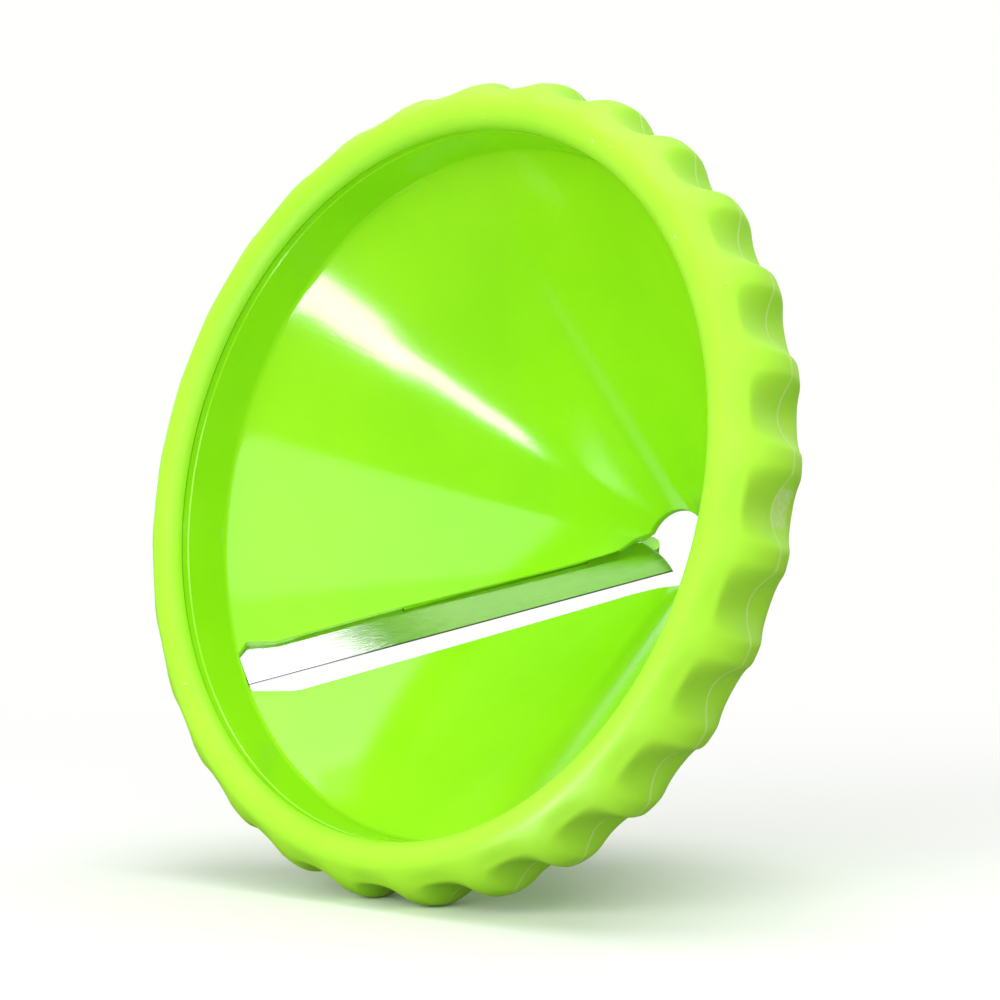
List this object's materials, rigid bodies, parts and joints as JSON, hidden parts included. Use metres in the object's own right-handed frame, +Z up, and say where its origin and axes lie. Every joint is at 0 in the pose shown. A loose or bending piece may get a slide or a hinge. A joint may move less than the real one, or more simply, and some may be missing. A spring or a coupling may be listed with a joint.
{
  "type": "funnel spiralizer",
  "caption": "Hand-turned funnel slicer: a cone with a scalloped soft grip round its mouth, a straight steel blade along a slot in its wall and an open hole at the tip.",
  "frame": {"origin": "on the floor under the middle of the object's box, as it stands on two ridges of its grip", "axes": "+Z up, the mouth faces -Y and a little up, +X to the right as seen from the front"},
  "size_m": [0.1, 0.0629, 0.0984],
  "materials": {
    "body_green": "glossy moulded ABS, lime green",
    "grip_green": "matte soft elastomer, pale lime green",
    "blade_steel": "polished strip with a fine grain along its length",
    "keeper_green": "moulded plastic, lime green"
  },
  "bodies": {
    "root": {"funnel_body": "body_green", "grip_ring": "grip_green", "blade": "blade_steel", "blade_keeper": "keeper_green"}
  },
  "joints": []
}
